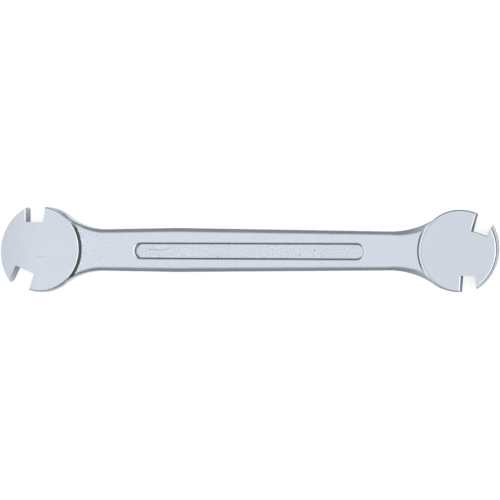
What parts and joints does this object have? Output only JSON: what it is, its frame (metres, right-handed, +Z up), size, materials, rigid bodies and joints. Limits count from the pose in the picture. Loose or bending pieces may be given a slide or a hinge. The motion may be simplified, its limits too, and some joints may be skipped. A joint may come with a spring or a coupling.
{
  "type": "spoke wrench",
  "caption": "Flat forged spoke wrench: a large and a small disc head, each notched with an upright and an angled jaw for spoke nipples, joined by a tapered shank with a panel groove.",
  "frame": {"origin": "middle of the underside: bottom centre of the bounding box, in the plane of the lower ground faces of both heads", "axes": "+X along the shank from the large head to the small head, +Y across the shank towards the large head's upright jaw, +Z up, square to the ground faces"},
  "size_m": [0.15, 0.0255, 0.004],
  "materials": {
    "satin_chrome": "satin chrome plate over a blasted forging",
    "ground_chrome": "satin chrome plate over finely ground faces"
  },
  "bodies": {
    "root": {"shank": "satin_chrome", "large_head": "ground_chrome", "small_head": "ground_chrome"}
  },
  "joints": []
}
